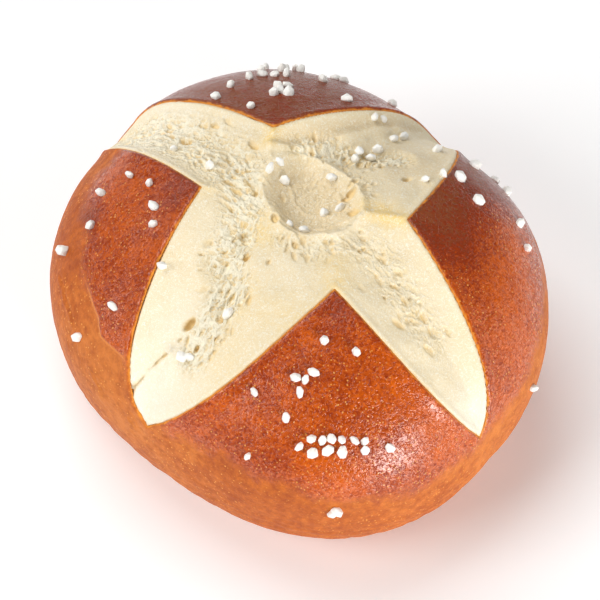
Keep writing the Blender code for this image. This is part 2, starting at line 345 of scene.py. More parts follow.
# single holes: reach, bearing, length along the arm, width and depth in mm
holes = [
    (33.4, -136, 3.5, 2.0, 1.6),
    (36.9, -128, 2.0, 1.0, 1.0),
    (30.3, 136, 3.0, 1.7, 1.5),
    (37.8, 136, 2.0, 1.2, 0.8),
    (25.2, 27, 2.0, 1.2, 1.1),
    (13.6, 34, 2.2, 1.4, 1.1),
    (11.0, 8, 2.2, 2.6, 0.9),
    (4.6, -177, 1.6, 2.4, 0.9),
    (12.1, -161, 1.4, 2.8, 1.2),
    (14.4, -140, 2.0, 1.3, 1.2),
    (21.2, -159, 0.9, 0.7, 0.6),
    (28.9, -127, 1.3, 2.4, 1.2),
    (23.2, -36, 1.0, 0.8, 0.5),
    (23.0, -47, 1.0, 0.7, 0.5),
    (26.4, -38, 0.9, 0.9, 0.5),
    (12.6, -120, 1.5, 1.0, 0.6),
]

slit = {
    "path": [(41.5, -136), (46.5, -137.6), (50.8, -138.2), (54.8, -136.5), (57.0, -132)],
    "width": 0.36 * mm,
    "depth": 0.75 * mm,
    "broken": 1.6 * mm,  # size of the stretches where it is deeper or shallower
}

# the face of the back right arm that turns away from the crown; it is sunk a little and darkened with painted
# shade, as it faces away from the light
backFace = [
    (20.6, 103), (17.3, 110), (16.9, 95), (17.9, 82), (21.5, 73), (27, 65), (33, 59), (42, 53), (58, 50),
    (58, 75), (34, 90),
]


def roundLoop(places, steps=8):
    # a smooth closed line through the places
    knots = path(*places)
    before, after = np.roll(knots, 1, axis=0), np.roll(knots, -1, axis=0)
    beyond = np.roll(knots, -2, axis=0)
    line = []
    for share in np.arange(steps) / steps:
        square, cube = share**2, share**3
        line.append(
            knots
            + 0.5 * share * (after - before)
            + square * (before - 2.5 * knots + 2 * after - 0.5 * beyond)
            + 0.5 * cube * (3 * knots - 3 * after + beyond - before)
        )
    return np.stack(line, axis=1).reshape(-1, 2)


def bubbles(spots):
    # torn foam: 1 on the thin walls between bubbles, down to 0 in the middle of a bubble
    heights = []
    for spot in spots.tolist():
        near = noise.voronoi(spot)[0]
        heights.append((near[0], near[1] - near[0]))
    middle, wall = np.array(heights).T
    return 0.6 * (1 - smooth(wall, 0.02, 0.3)) + 0.4 * smooth(middle, 0.1, 0.8)


def strands(chart, size, length, seed):
    # crests that run along the nearest arm, 1 on a crest
    total, weights = np.zeros(len(chart)), np.zeros(len(chart))
    reach = np.maximum(np.linalg.norm(chart, axis=1), 1 * mm)
    flat = np.column_stack([chart, np.zeros(len(chart))])
    bend = waves(flat, 4 * mm, seed + 20)
    for number, (_, bearing) in enumerate(slashes["ends"].values()):
        along = heading(bearing)
        across = np.array([-along[1], along[0]])
        far, side = chart @ along, chart @ across
        weight = np.exp(8 * (far / reach - 1))
        layer = np.full(len(chart), 7.3 * number + seed)
        crest = bubbles(np.column_stack([far / length + bend, side / size + bend * 1.2, layer]))
        total += weight * crest
        weights += weight
    return total / weights


def spots(chart, places):
    # soft spots that add up, up to 1
    amount = np.zeros(len(chart))
    for reach, bearing, size, more in places:
        away = np.linalg.norm(chart - place(reach, bearing), axis=1) / (size * mm)
        amount += more * np.exp(-(away**2))
    return np.clip(amount, 0, 1)


def shadedFace(chart):
    loop = path(*backFace)
    away = distanceTo(chart, np.concatenate([loop, loop[:1]]))
    return smooth(np.where(inside(chart, loop), away, -away), -0.5 * mm, 0.9 * mm)


def tearFields(chart):
    rough, sunk = np.zeros(len(chart)), np.zeros(len(chart))
    for tear in tears:
        away = distanceTo(chart, path(*tear["path"])) / (tear["width"] * mm)
        band = 1 - smooth(away, 0.35, 1.1)
        rough = np.maximum(rough, band * tear["rough"])
        sunk = np.maximum(sunk, band * tear["sunk"] * mm)
    return rough, sunk


def poreList():
    # every pore: place, radii along and across, turn, depth
    draw = random.Random(crumb["seed"])
    found = []
    for tear in tears:
        line = path(*tear["path"])
        for _ in range(tear["pores"]):
            step = draw.uniform(0, len(line) - 1.001)
            spot = line[int(step)] + (line[int(step) + 1] - line[int(step)]) * (step % 1)
            spot = spot + np.array([draw.gauss(0, 0.45), draw.gauss(0, 0.45)]) * tear["width"] * mm
            size = draw.uniform(0.22, 0.7) * mm
            long = size * draw.uniform(1.0, 3.0)
            turn = math.atan2(spot[1], spot[0]) + draw.gauss(0, 0.35)
            found.append((spot, long, size, turn, size * draw.uniform(0.5, 1.1)))
    for reach, bearing, long, wide, depth in holes:
        found.append((place(reach, bearing), long / 2 * mm, wide / 2 * mm, math.radians(bearing), depth * mm))
    return found


def poreDepth(chart):
    depth = np.zeros(len(chart))
    for spot, long, wide, turn, fibresAndGlints in poreList():
        near = np.nonzero(np.abs(chart - spot).max(axis=1) < 1.6 * max(long, wide))[0]
        shift = chart[near] - spot
        far = (shift[:, 0] * math.cos(turn) + shift[:, 1] * math.sin(turn)) / long
        side = (shift[:, 1] * math.cos(turn) - shift[:, 0] * math.sin(turn)) / wide
        depth[near] = np.maximum(depth[near], fibresAndGlints * (1 - smooth(np.hypot(far, side), 0.45, 1.25)))
    return depth


def crumbSurface(chart):
    # points of the crumb, the way out, the distance to the crust's edge, and the fields for its colours
    points, ways = onBun(chart)
    edge, depth = opening(chart)
    inner = np.clip(edge / slashes["fade"], 0, 1)
    rough, sunk = tearFields(chart)
    rough *= smooth(edge, 0.4 * mm, 2.4 * mm)
    sunk *= smooth(edge, 0.4 * mm, 3 * mm)
    rim = roundLoop(crumb["rim"])
    toRim = distanceTo(chart, np.concatenate([rim, rim[:1]]))
    inPit = inside(chart, rim)
    pit = crumb["pitDepth"] * (1 - np.exp(-((toRim / crumb["pitSlope"]) ** 1.5))) * inPit
    rough = np.where(inPit, np.maximum(rough * (1 - smooth(toRim, 0.5 * mm, 2 * mm)), 0.3), rough)
    faceDepth = shadedFace(chart) * smooth(edge, 0.5 * mm, 3 * mm)
    bead = crumb["rimBead"] * np.exp(-((toRim / crumb["rimWidth"]) ** 2))
    torn = np.nonzero((rough > 0.01) | (edge > 0))[0]
    strand = np.full(len(chart), 0.3)
    strand[torn] = 0.65 * strands(chart[torn], 1.3 * mm, 2.4 * mm, 1)
    strand[torn] += 0.35 * strands(chart[torn], 0.55 * mm, 1.1 * mm, 4)
    raised = bead
    for ridge in ridges:
        away = distanceTo(chart, path(*ridge["path"])) / (ridge["width"] * mm)
        raised = raised + ridge["height"] * mm * np.exp(-(away**2))
    raised = raised * smooth(edge, 0, 1.5 * mm)
    pores = poreDepth(chart) * smooth(edge, 0.2 * mm, 1.2 * mm)
    toSlit = distanceTo(chart, path(*slit["path"])) / slit["width"]
    gap = slit["depth"] * (0.7 + waves(points, slit["broken"], 4)) * (1 - smooth(toSlit, 0.3, 1.6))
    gap = gap * (edge > 0)
    ground = slashes["torn"] * inner * waves(points, slashes["tornSize"])
    fine = crumb["grainWaves"] * inner * (waves(points, 1.7 * mm) + 0.5 * waves(points, 0.8 * mm))
    lines = (strand - 0.3) * crumb["strandHeight"] * (rough + 0.15 * inner)
    lift = bun["uneven"] * waves(points, bun["unevenSize"]) + ground + fine + lines + raised
    swell = crumb["edgeSwell"] * np.exp(-((edge / crumb["swellWidth"] - 1) ** 2))
    lift = lift - depth - sunk - pit - pores - gap - pinchDepth(chart) + swell
    lift = lift - faceDepth * crumb["faceDepth"]
    covered = smooth(-edge, 0, 0.3 * mm)
    lift = lift - crumb["edgeGap"] - covered * crumb["underCrust"]
    points = points + ways * lift[:, None]
    points[:, 2] = stand(points[:, 2])
    # painted shade in the pores, in the slit and between the strands of the torn crumb
    paintedCavityShade = np.clip((pores + gap) / (0.8 * mm) + (0.45 - strand) * rough * 1.8, 0, 1)
    # painted shade: darker down in the pit, on the back face that turns away from the light, and in the shade
    # spots
    shade = np.maximum(0.5 * inPit * smooth(toRim, 0, 3 * mm), 0.6 * faceDepth)
    shade = np.clip(shade + spots(chart, crumb["shadeSpots"]), 0, 1)
    fields = {"paintedCavityShade": paintedCavityShade, "torn": rough, "shade": shade, "yellow": spots(chart, crumb["yellowSpots"])}
    fields["web"] = strand * rough
    # painted light, paler towards the ends of the arms
    fields["paintedLight"] = spots(chart, crumb["paintedLightSpots"])
    return points, ways, edge, fields


def newBall(name, subdivisions):
    bpy.ops.object.select_all(action="DESELECT")
    bpy.ops.mesh.primitive_ico_sphere_add(
        subdivisions=subdivisions, radius=bun["radius"], location=(0, 0, bun["waist"])
    )
    ball = bpy.context.object
    ball.name = name
    ball.data.name = name
    bpy.ops.object.transform_apply(location=True, rotation=False, scale=False)
    return ball


def corners(piece):
    flat = np.empty(len(piece.data.vertices) * 3)
    piece.data.vertices.foreach_get("co", flat)
    return flat.reshape(-1, 3)


def setCorners(piece, points):
    piece.data.vertices.foreach_set("co", points.ravel())
    piece.data.update()


def faceCorners(piece):
    # the corner numbers of every triangle
    flat = np.empty(len(piece.data.polygons) * 3, int)
    piece.data.polygons.foreach_get("vertices", flat)
    return flat.reshape(-1, 3)


def ballChart(piece, crowd):
    out = corners(piece) - (0, 0, bun["waist"])
    return chartOf(out / np.linalg.norm(out, axis=1, keepdims=True), crowd)


def selectFaces(piece, chosen):
    bpy.ops.object.mode_set(mode="OBJECT")
    piece.data.vertices.foreach_set("select", np.zeros(len(piece.data.vertices), bool))
    piece.data.edges.foreach_set("select", np.zeros(len(piece.data.edges), bool))
    piece.data.polygons.foreach_set("select", chosen)
    bpy.ops.object.mode_set(mode="EDIT")
    bpy.ops.mesh.select_mode(type="FACE")


def subdivideFaces(piece, chosen):
    # splits each chosen triangle in four, and leaves only triangles
    selectFaces(piece, chosen)
    bpy.ops.mesh.subdivide(number_cuts=1, smoothness=0)
    bpy.ops.mesh.select_all(action="SELECT")
    bpy.ops.mesh.quads_convert_to_tris(quad_method="SHORTEST_DIAGONAL", ngon_method="BEAUTY")
    bpy.ops.object.mode_set(mode="OBJECT")


def deleteFaces(piece, chosen):
    selectFaces(piece, chosen)
    bpy.ops.mesh.delete(type="FACE")
    bpy.ops.object.mode_set(mode="OBJECT")


def keepField(piece, name, values):
    field = piece.data.attributes.new(name, "FLOAT", "POINT")
    field.data.foreach_set("value", np.asarray(values, np.float32))


def shadeSmooth(piece):
    bpy.ops.object.select_all(action="DESELECT")
    piece.select_set(True)
    bpy.context.view_layer.objects.active = piece
    bpy.ops.object.shade_smooth()


def crumbBody():
    body = newBall("crumb", crumb["base"])
    for _ in range(crumb["edgeRounds"]):
        edge = opening(ballChart(body, crumb["crowd"]))[0]
        subdivideFaces(body, edge[faceCorners(body)].max(axis=1) > -crumb["underReach"])
    chart = ballChart(body, crumb["crowd"])
    rough, _ = tearFields(chart)
    rim = roundLoop(crumb["rim"])
    toRim = distanceTo(chart, np.concatenate([rim, rim[:1]]))
    pitArea = inside(chart, rim) | (toRim < crumb["pitBand"])
    edge = opening(chart)[0]
    fine = ((rough > crumb["splitRough"]) | pitArea) & (edge > 0)
    subdivideFaces(body, fine[faceCorners(body)].any(axis=1))
    points, _, edge, fields = crumbSurface(ballChart(body, crumb["crowd"]))
    points[:, 2] = np.maximum(points[:, 2], crumb["lowest"])
    setCorners(body, points)
    for name, values in fields.items():
        keepField(body, name, values)
    keepField(body, "rim", np.clip(edge / (crumb["rimFade"] * mm), 0, 1))
    shadeSmooth(body)
    print("crumb:", len(body.data.polygons), "faces")
    return body


crust = {
    "crowd": 0.0,
    "base": 6,
    "thickness": 0.45 * mm,
    "corner": 0.35 * mm,  # rounding of the edge that stands proud of the crumb
    "wrinkle": 0.05 * mm,
    "wrinkleSize": 2.2 * mm,
    "sideScale": 0.24 * mm,
    "scaleSize": 6 * mm,
    "sideHeights": (12 * mm, 24 * mm),  # the scaly side ends between these
    "footHeights": (1 * mm, 5 * mm),
    "skinStep": 0.25 * mm,
    "skinSpan": 20,  # mm that the field called skin covers, half of them on each side of the border
    "creaseLift": 0.25 * mm,
    "creaseDepth": 0.3 * mm,
    "overlap": 2.2 * mm,  # how far past the edge the ball's faces are kept before the cut
    "edgeBands": (1.5 * mm, 0.55 * mm),  # split again this near the edge
    "splitAbove": 1 * mm,
    "rimFade": 4,  # mm from the edge over which the field called rim runs
    "snap": 0.3,  # a point nearer to the cut than this share of its edge moves onto it
}

# how dark the crust baked, with painted light and shade low on its sides: the paler spots low on the left and
# right and the dark spot low at the front stand in for light and shade; reach, bearing, size in mm, amount
# (below 0 is paler)
bakedAndPaintedLightSpots = [
    (28, 100, 13, 0.75), (40, 80, 13, 0.6), (40, 125, 13, 0.6), (55, 100, 14, 0.35),
    (24, 4, 8, 0.65), (34, 22, 11, 0.5), (46, 30, 12, 0.45), (32, -8, 6, 0.35),
    (21, 161, 6, 0.4), (44, 178, 12, 0.1), (30, 148, 5, 0.3),
    (20, -70, 5, 0.35), (30, -95, 9, 0.1), (48, -60, 10, -0.05), (44, 0, 10, -0.25), (38, 168, 9, -0.2),
    (52, -84, 5, -0.5), (42, 171, 3, 0.5), (47, -178, 3, 0.5), (50, 174, 4, 0.3), (38, -158, 7, 0.15),
    (47, 168, 5, 0.3), (50, -50, 6, -0.3), (50, -20, 9, -0.3), (63, -95, 12, 0.3), (58, -153, 16, -0.17),
    (64, -42, 15, -0.15), (64, -132, 15, -0.15),
]

# short creases in the matte side
creases = [
    [(51.3, -177), (50.6, -173), (51.4, -170), (51.0, -166), (52.0, -163)],
    [(55.5, -150), (57.0, -147), (59.5, -146)],
    [(58.0, -137), (60.0, -135.5), (62.5, -136)],
]

# where the glossy skin stops above the matte side: bearing in degrees, reach in mm
skinEdge = [
    (-180, 43.7), (-165, 44.7), (-158, 45.6), (-154, 47.6), (-144, 46.8), (-127, 55.1), (-114, 53.2),
    (-104, 53.9), (-92, 55.0), (-81, 56.4), (-68, 58.4), (-58, 58.6), (-43, 57.0), (-25, 55.0),
    (0, 54.0), (45, 54.0), (90, 54.0), (135, 50.0), (147, 41.4), (155, 43.9), (162, 44.8), (174, 43.4),
    (180, 43.7),
]


def toSkinEdge(chart):
    # mm from the border of the glossy skin, above 0 on the skin
    bearings, reaches = zip(*skinEdge)
    bearing = np.degrees(np.arctan2(chart[:, 1], chart[:, 0]))
    return np.interp(bearing, bearings, reaches) - np.hypot(chart[:, 0], chart[:, 1]) / mm


def creased(chart):
    # 1 on the left, where the skin ends in a crease, and 0 elsewhere
    bearing = np.degrees(np.arctan2(chart[:, 1], chart[:, 0])) % 360
    return smooth(bearing, 187, 197) * (1 - smooth(bearing, 213, 219))


def brownedAndPaintedLight(chart):
    # the bake's darkness, which carries the painted light and shade of the low spots as well
    more = spots(chart, [spot for spot in bakedAndPaintedLightSpots if spot[3] > 0])
    less = spots(chart, [(*spot[:3], -spot[3]) for spot in bakedAndPaintedLightSpots if spot[3] < 0])
    return np.clip(0.25 + more - less, 0, 1)


def crustSurface(chart):
    points, ways = onBun(chart)
    edge = np.minimum(opening(chart)[0], 0)
    lip = slashes["lip"] * np.exp(-((edge / slashes["lipWidth"]) ** 2))
    corner = 0.85 * slashes["lip"] * np.exp(-((edge / crust["corner"]) ** 2))
    top = smooth(points[:, 2], *crust["sideHeights"])
    size = crust["wrinkleSize"]
    wrinkle = crust["wrinkle"] * (waves(points, size) + 0.6 * waves(points, size / 2, 9))
    flat = points * (1, 1, 2.4)  # wider than high
    scales = np.clip(1 - 3 * np.abs(waves(flat, crust["scaleSize"], 3)), 0, 1)
    scaly = -crust["sideScale"] * scales * (1 - top)
    scaly *= smooth(points[:, 2], *crust["footHeights"])
    step = crust["skinStep"] * smooth(toSkinEdge(chart), -0.5, 0.3) * creased(chart)
    for line in creases:
        away = distanceTo(chart, path(*line)) / mm
        raised = crust["creaseLift"] * np.exp(-(((away - 0.7) / 0.5) ** 2))
        step += raised - crust["creaseDepth"] * np.exp(-((away / 0.35) ** 2))
    uneven = bun["uneven"] * waves(points, bun["unevenSize"]) - pinchDepth(chart)
    lift = uneven + lip - corner + wrinkle + scaly + step
    points = points + ways * lift[:, None]
    points[:, 2] = stand(points[:, 2])
    return points, ways, edge


def cutAlongEdge(piece, chart):
    # moves or adds points so that the mesh follows the line where the crust stops
    mesh = bmesh.new()
    mesh.from_mesh(piece.data)
    mesh.verts.index_update()
    edge = opening(chart)[0]
    measure = {v: edge[v.index] for v in mesh.verts}
    for e in mesh.edges:
        a, b = e.verts
        if measure[a] * measure[b] < 0:
            share = measure[a] / (measure[a] - measure[b])
            if min(share, 1 - share) < crust["snap"]:
                moved = a if share < 0.5 else b
                moved.co = a.co.lerp(b.co, share)
                measure[moved] = 0
    crossing = []
    for e in mesh.edges:
        a, b = (measure[v] for v in e.verts)
        if a * b < 0:
            crossing.append((e, e.verts[0], a / (a - b)))
    onEdge = [v for v in mesh.verts if measure[v] == 0]
    onEdge += [bmesh.utils.edge_split(e, v, share)[1] for e, v, share in crossing]
    for v in onEdge:
        measure[v] = 0
    bmesh.ops.connect_verts(mesh, verts=onEdge)
    bmesh.ops.triangulate(mesh, faces=mesh.faces[:])
    beyond = [f for f in mesh.faces if sum(measure[v] for v in f.verts) > 0]
    bmesh.ops.delete(mesh, geom=beyond, context="FACES")
    mesh.to_mesh(piece.data)
    mesh.free()


def crustShell():
    shell = newBall("crust", crust["base"])
    edge = opening(ballChart(shell, crust["crowd"]))[0]
    deleteFaces(shell, edge[faceCorners(shell)].min(axis=1) > crust["overlap"])
    heights = onBun(ballChart(shell, crust["crowd"]))[0][:, 2]
    subdivideFaces(shell, heights[faceCorners(shell)].max(axis=1) > crust["splitAbove"])
    for band in crust["edgeBands"]:
        edge = opening(ballChart(shell, crust["crowd"]))[0]
        subdivideFaces(shell, np.abs(edge[faceCorners(shell)]).min(axis=1) < band)
    cutAlongEdge(shell, ballChart(shell, crust["crowd"]))
    chart = ballChart(shell, crust["crowd"])
    points, _, edge = crustSurface(chart)
    setCorners(shell, points)
    keepField(shell, "rim", np.clip(-edge / (crust["rimFade"] * mm), 0, 1))
    keepField(shell, "brownedAndPaintedLight", brownedAndPaintedLight(chart))
    keepField(shell, "skin", np.clip(toSkinEdge(chart) / crust["skinSpan"] + 0.5, 0, 1))
    keepField(shell, "crease", creased(chart))
    shadeSmooth(shell)
    wall = shell.modifiers.new("thickness", "SOLIDIFY")
    wall.thickness = crust["thickness"]
    wall.offset = -1
    wall.use_even_offset = False
    bpy.ops.object.modifier_apply(modifier=wall.name)
    print("crust:", len(shell.data.polygons), "faces")
    return shell


# coarse salt, thrown on in groups

salt = {
    "length": (2.4 * mm, 3.3 * mm),
    "shares": ((1.0, 1.0), (0.62, 0.88), (0.52, 0.75)),
    "rough": (0.78, 1.12),
    "tries": 6,
    "out": 0.35 * mm,
    "seed": 589,
    "bevel": 0.12 * mm,
    "bevelSteps": 2,
    "sharp": math.radians(18),
    # reach, bearing, spread along the reach and across it in mm, number of grains
    "groups": [
        (45.4, -82, 1.5, 7.0, 11),
        (34.2, -88, 2.0, 1.8, 4),
        (26.8, -80, 0.4, 0.4, 1),
        (29.4, -70, 0.4, 0.4, 1),
        (41.5, -93, 0.4, 0.4, 1),
        (51.1, -102, 0.4, 0.4, 1),
        (38.4, -103, 0.4, 0.4, 1),
        (60.1, -83, 0.6, 1.3, 2),
        (47.1, -69, 0.4, 0.4, 1),
        (27.2, 176, 0.4, 2.6, 2),
        (29.8, 162, 0.4, 0.4, 1),
        (34.6, 158, 0.4, 0.4, 1),
        (40.0, 164, 0.4, 0.4, 1),
        (41.1, 174, 0.4, 0.4, 1),
        (49.2, 177, 0.9, 0.6, 2),
        (52.5, -160, 0.4, 0.4, 1),
        (41.5, -158, 0.4, 0.4, 1),
        (29.1, -160, 0.4, 0.4, 1),
        (35.9, 17, 1.2, 3.6, 2),
        (47.2, 6, 0.4, 3.6, 2),
        (44.8, 30, 0.4, 0.4, 1),
        (51.8, 26, 0.8, 3.0, 2),
        (60.3, -26, 0.5, 0.5, 1),
        (41.8, 99, 2.4, 4.0, 6),
        (47.8, 94, 1.0, 4.0, 4),
        (32.5, 96, 2.2, 1.6, 5),
        (27.7, 108, 0.4, 0.4, 1),
        (34.0, 117, 0.4, 0.4, 1),
        (37.0, 110, 0.4, 0.4, 1),
        (47.8, 79, 0.6, 1.2, 2),
        (35.1, 74, 0.4, 0.4, 1),
        (41.8, 83, 0.4, 0.4, 1),
        (56.0, 90, 4.5, 22.0, 6),
        (25.5, 54, 4.8, 1.6, 4),
        (37.2, 57, 2.2, 4.2, 4),
        (48.7, 63, 0.5, 0.5, 1),
        (40.1, 39, 0.5, 0.5, 1),
        (30.0, 24, 2.7, 0.6, 2),
        (1.0, -104, 1.2, 2.2, 2),
        (7.8, 25, 2.8, 0.6, 2),
        (14.0, 58, 0.4, 0.4, 1),
        (11.4, 111, 1.6, 1.4, 3),
        (25.3, 142, 5.4, 0.6, 2),
        (26.6, -125, 0.5, 0.5, 1),
        (39.0, -130, 1.0, 1.3, 2),
    ],
}


def nearestGap(spot, others):
    return min((np.linalg.norm(spot - other) for other in others), default=0)


def grainPlaces(draw):
    places = []
    for reach, bearing, along, across, number in salt["groups"]:
        outward = heading(bearing)
        sideways = np.array([-outward[1], outward[0]])
        for _ in range(number):
            tries = []
            for _ in range(salt["tries"]):
                shift = along * draw.uniform(-1, 1), across * draw.uniform(-1, 1)
                tries.append((outward * (reach + shift[0]) + sideways * shift[1]) * mm)
            places.append(max(tries, key=lambda spot: nearestGap(spot, places)))
    return np.array(places)


def saltGrain(middle, draw):
    bpy.ops.mesh.primitive_ico_sphere_add(subdivisions=1, radius=draw.uniform(*salt["length"]) / 2)
    grain = bpy.context.object
    shares = [draw.uniform(*span) for span in salt["shares"]]
    turn = Euler([draw.uniform(-math.pi, math.pi) for _ in range(3)]).to_matrix()
    for v in grain.data.vertices:
        v.co = Vector(c * s * draw.uniform(*salt["rough"]) for c, s in zip(v.co, shares))
    grain.data.transform(Matrix.Translation(middle) @ turn.to_4x4())
    return grain


def saltGrains():
    draw = random.Random(salt["seed"])
    chart = grainPlaces(draw)
    outer, ways, edge = crustSurface(chart)
    inner = crumbSurface(chart)[0]
    points = np.where(edge[:, None] < 0, outer, inner)
    grains = []
    for point, way in zip(points, ways):
        grains.append(saltGrain(Vector(point + way * salt["out"]), draw))
    bpy.ops.object.select_all(action="DESELECT")
    for grain in grains:
        grain.select_set(True)
    bpy.context.view_layer.objects.active = grains[0]
    bpy.ops.object.join()
    joined = bpy.context.object
    joined.name = joined.data.name = "salt"
    worn = joined.modifiers.new("worn edges", "BEVEL")
    worn.width = salt["bevel"]
    worn.segments = salt["bevelSteps"]
    worn.limit_method = "NONE"
    bpy.ops.object.modifier_apply(modifier=worn.name)
    bpy.ops.object.shade_smooth_by_angle(angle=salt["sharp"])
    print("salt:", len(joined.data.polygons), "faces")
    return joined


class Wire:
    # one output, so that shader maths reads as plain expressions
    def __init__(self, paint, socket):
        self.paint, self.socket = paint, socket

    def math(self, operation, *values):
        return self.paint.node("ShaderNodeMath", {"operation": operation}, values)

    def __add__(self, other):
        return self.math("ADD", self, other)

    def __radd__(self, other):
        return self.math("ADD", other, self)

    def __sub__(self, other):
        return self.math("SUBTRACT", self, other)

    def __rsub__(self, other):
        return self.math("SUBTRACT", other, self)

    def __mul__(self, other):
        return self.math("MULTIPLY", self, other)

    def __rmul__(self, other):
        return self.math("MULTIPLY", other, self)


class Paint:
    def __init__(self, name, **constants):
        self.material = bpy.data.materials.new(name)
        self.material.use_nodes = True
        self.tree = self.material.node_tree
        self.surface = self.tree.nodes["Principled BSDF"]
        for socket, value in constants.items():
            self.surface.inputs[socket.replace("_", " ")].default_value = value
        self.object = self.node("ShaderNodeTexCoord", {}, (), "Object")

    def node(self, kind, settings, values, out=0):
        made = self.tree.nodes.new(kind)
        for name, value in settings.items():
            setattr(made, name, value)
        pairs = values.items() if isinstance(values, dict) else enumerate(values)
        for key, value in pairs:
            if isinstance(value, Wire):
                self.tree.links.new(value.socket, made.inputs[key])
            else:
                made.inputs[key].default_value = value
        return Wire(self, made.outputs[out])

    def field(self, name):
        return self.node("ShaderNodeAttribute", {"attribute_name": name}, (), "Fac")

    def ramp(self, value, low, high):
        # 0 at low and 1 at high, with soft ends
        return self.node("ShaderNodeMapRange", {"interpolation_type": "SMOOTHSTEP"}, (value, low, high, 0, 1))

    def mix(self, share, first, second):
        return self.node("ShaderNodeMix", {"data_type": "RGBA"}, {0: share, 6: first, 7: second}, 2)

    def pushed(self, size, far):
        # object coordinates pushed about by a noise, so that cells get bent walls
        values = {"Vector": self.object, "Scale": 1 / size, "Detail": 1}
        shove = self.node("ShaderNodeTexNoise", {}, values, "Color")
        values = (shove, (far, far, far), self.object)
        return self.node("ShaderNodeVectorMath", {"operation": "MULTIPLY_ADD"}, values)

    def noise(self, size, detail=2, rough=0.5, bend=0):
        values = {"Vector": self.object, "Scale": 1 / size, "Detail": detail}
        values.update({"Roughness": rough, "Distortion": bend})
        return self.node("ShaderNodeTexNoise", {}, values)

    def cells(self, size, feature="F1", at=None):
        values = {"Vector": at or self.object, "Scale": 1 / size}
        return self.node("ShaderNodeTexVoronoi", {"feature": feature}, values)

    def bump(self, height, strength, distance):
        values = {"Height": height, "Strength": strength, "Distance": distance}
        return self.node("ShaderNodeBump", {}, values)

    def height(self):
        return self.node("ShaderNodeSeparateXYZ", {}, (self.object,), "Z") * 1000

    def feed(self, socket, value):
        self.tree.links.new(value.socket, self.surface.inputs[socket])


def crustPaint():
    paint = Paint("bakedCrust", Specular_IOR_Level=0.42, Coat_Roughness=0.26, Coat_IOR=1.5)
    height = paint.height()
    crease = paint.field("crease")
    skin = paint.field("skin") * crust["skinSpan"] - crust["skinSpan"] / 2  # mm inside the glossy skin
    ragged = (paint.noise(5 * mm, 4, 0.6) - 0.5) * 9 * (1 - crease)
    top = paint.ramp(skin + ragged, crease * 1.8 - 2.5, 2.5 - crease * 1.8)
    rim = paint.field("rim") * crust["rimFade"]  # mm from the cut
    # how dark the crust baked, with painted light and shade low on the sides
    dark = paint.field("brownedAndPaintedLight")
    cloud = paint.noise(9 * mm, 4, 0.6)
    mottle = paint.noise(1.8 * mm, 4, 0.65)
    folds = paint.noise(0.58 * mm, 1, 0.5, 1.0)
    # the hollows of the fine folds are darker: painted shade in the wrinkles; cloud and mottle are the
    # crust's own tone
    bake = dark + (cloud - 0.5) * 0.8 + (mottle - 0.5) * 0.7 - (folds - 0.5) * 1.4
    red = paint.mix(paint.ramp(bake, -0.4, 0.8), (0.69, 0.12, 0.002, 1), (0.25, 0.022, 0.001, 1))
    brown = paint.mix(paint.ramp(bake, 0.5, 1.3), red, (0.24, 0.062, 0.019, 1))
    # in the matte tan too the fold hollows get painted shade
    blotch = mottle * 1.4 + cloud * 0.6 - folds * 0.6 + dark * 0.5
    tan = paint.mix(paint.ramp(blotch, 0.2, 1.5), (0.64, 0.155, 0.006, 1), (0.32, 0.05, 0.002, 1))
    # the tan turns paler where the crust baked least, partly random tone and partly painted light low on the
    # left and right sides
    light = dark + (cloud - 0.5) * 0.7 + (mottle - 0.5) * 0.5
    tan = paint.mix(paint.ramp(light, 0.35, -0.15) * 0.6, tan, (0.72, 0.24, 0.045, 1))
    base = paint.mix(top, tan, brown)
    # small golden specks of the crust's own colour, which also serve as painted glints
    speckAndGlint = paint.ramp(paint.cells(0.9 * mm), 0.25, 0.1) * paint.ramp(cloud, 0.3, 0.6)
    speckAndGlint = speckAndGlint * paint.ramp(dark, 0.7, 0.3)
    base = paint.mix(speckAndGlint * 0.7, base, (0.88, 0.42, 0.09, 1))
    golden = paint.ramp(rim + (mottle - 0.5) * 1.2, 0.45, 0.0)
    base = paint.mix(golden * 0.9, base, (0.82, 0.29, 0.02, 1))
    border = paint.ramp(skin, -0.45, -0.1) * paint.ramp(skin, 0.35, 0.0) * crease
    base = paint.mix(border * 0.6, base, (0.80, 0.27, 0.03, 1))
    under = paint.ramp(height, 1.5, 0.2)
    sole = paint.mix(cloud, (0.3, 0.09, 0.025, 1), (0.5, 0.2, 0.07, 1))
    base = paint.mix(under, base, sole)
    paint.feed("Base Color", base)
    coarse = paint.noise(2.8 * mm, 2, 0.5, 0.6)
    relief = folds * (0.4 + top * 0.6) + coarse
    paint.feed("Normal", paint.bump(relief, 1.0, 0.22 * mm))
    shine = top * (1 - golden)
    paint.feed("Roughness", 0.64 - shine * 0.43 + (mottle - 0.5) * 0.15)
    glaze = paint.ramp(folds + (mottle - 0.5) * 0.5, 0.47, 0.6) * shine * paint.ramp(bake, 0.9, 0.2)
    paint.feed("Coat Weight", glaze)
    return paint.material


